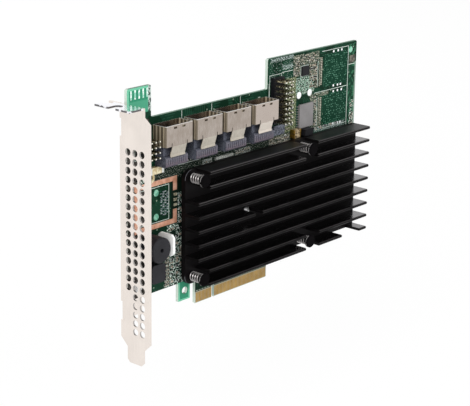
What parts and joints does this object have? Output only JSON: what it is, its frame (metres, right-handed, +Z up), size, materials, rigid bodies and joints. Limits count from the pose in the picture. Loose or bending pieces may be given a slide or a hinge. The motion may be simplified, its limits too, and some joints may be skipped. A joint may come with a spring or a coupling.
{
  "type": "raid controller card",
  "caption": "Full-height storage controller expansion card with a finned black heat sink on sprung push pins, upward cable ports, pin headers and a vented bracket.",
  "frame": {"origin": "middle of the key notch between the gold fingers, on the board's component face, at the fingers' lower edge", "axes": "+X along the card away from its bracket, +Y out of the board's solder side, +Z up from the gold fingers to the cable ports"},
  "size_m": [0.1765, 0.0249, 0.1259],
  "materials": {
    "board_green": "solder mask",
    "gold_contact": "plated",
    "bracket_metal": "nickel plated",
    "screw_metal": "plated",
    "black_sink": "black anodised",
    "black_plastic": "moulded",
    "spring_metal": "bright",
    "shell_metal": "plated",
    "port_plastic": "moulded",
    "pin_metal": "plated",
    "chip_black": "moulded",
    "chip_lid": "plated",
    "chip_grey": "moulded",
    "pad_grey": "soft",
    "white_plastic": "moulded",
    "copper": "bare copper",
    "cream_body": "moulded",
    "gold_body": "moulded",
    "tan_ceramic": "ceramic",
    "solder_tin": "tinned"
  },
  "bodies": {
    "root": {"circuit_board": "board_green", "front_contacts": "gold_contact", "back_contacts": "gold_contact", "mounting_bracket": "bracket_metal", "bracket_screws": "screw_metal", "heat_sink": "black_sink", "push_pins": "black_plastic", "pin_springs": "spring_metal", "middle_screw": "screw_metal", "middle_nut": "screw_metal", "raid_processor": "chip_lid", "processor_thermal_pad": "pad_grey", "port_expander": "chip_lid", "expander_thermal_pad": "pad_grey", "memory_chips": "chip_black", "port_shell_1": "shell_metal", "port_shell_2": "shell_metal", "port_shell_3": "shell_metal", "port_shell_4": "shell_metal", "port_housing_1": "port_plastic", "port_housing_2": "port_plastic", "port_housing_3": "port_plastic", "port_housing_4": "port_plastic", "left_header_base": "black_plastic", "left_header_pins": "pin_metal", "right_header_base": "black_plastic", "right_header_pins": "pin_metal", "sounder": "black_plastic", "power_choke": "chip_black", "upright_guide": "white_plastic", "copper_frame": "copper", "frame_jumpers": "gold_contact", "flash_chip": "chip_grey", "monitor_chip": "chip_black", "regulator": "chip_grey", "inductor": "chip_black", "film_capacitor": "cream_body", "film_capacitor_ends": "solder_tin", "gold_capacitors": "gold_body", "gold_capacitor_ends": "gold_contact", "small_capacitors": "tan_ceramic", "small_capacitor_ends": "solder_tin", "small_resistors": "chip_black", "small_resistor_ends": "solder_tin", "resistor_array": "chip_grey"}
  },
  "joints": []
}
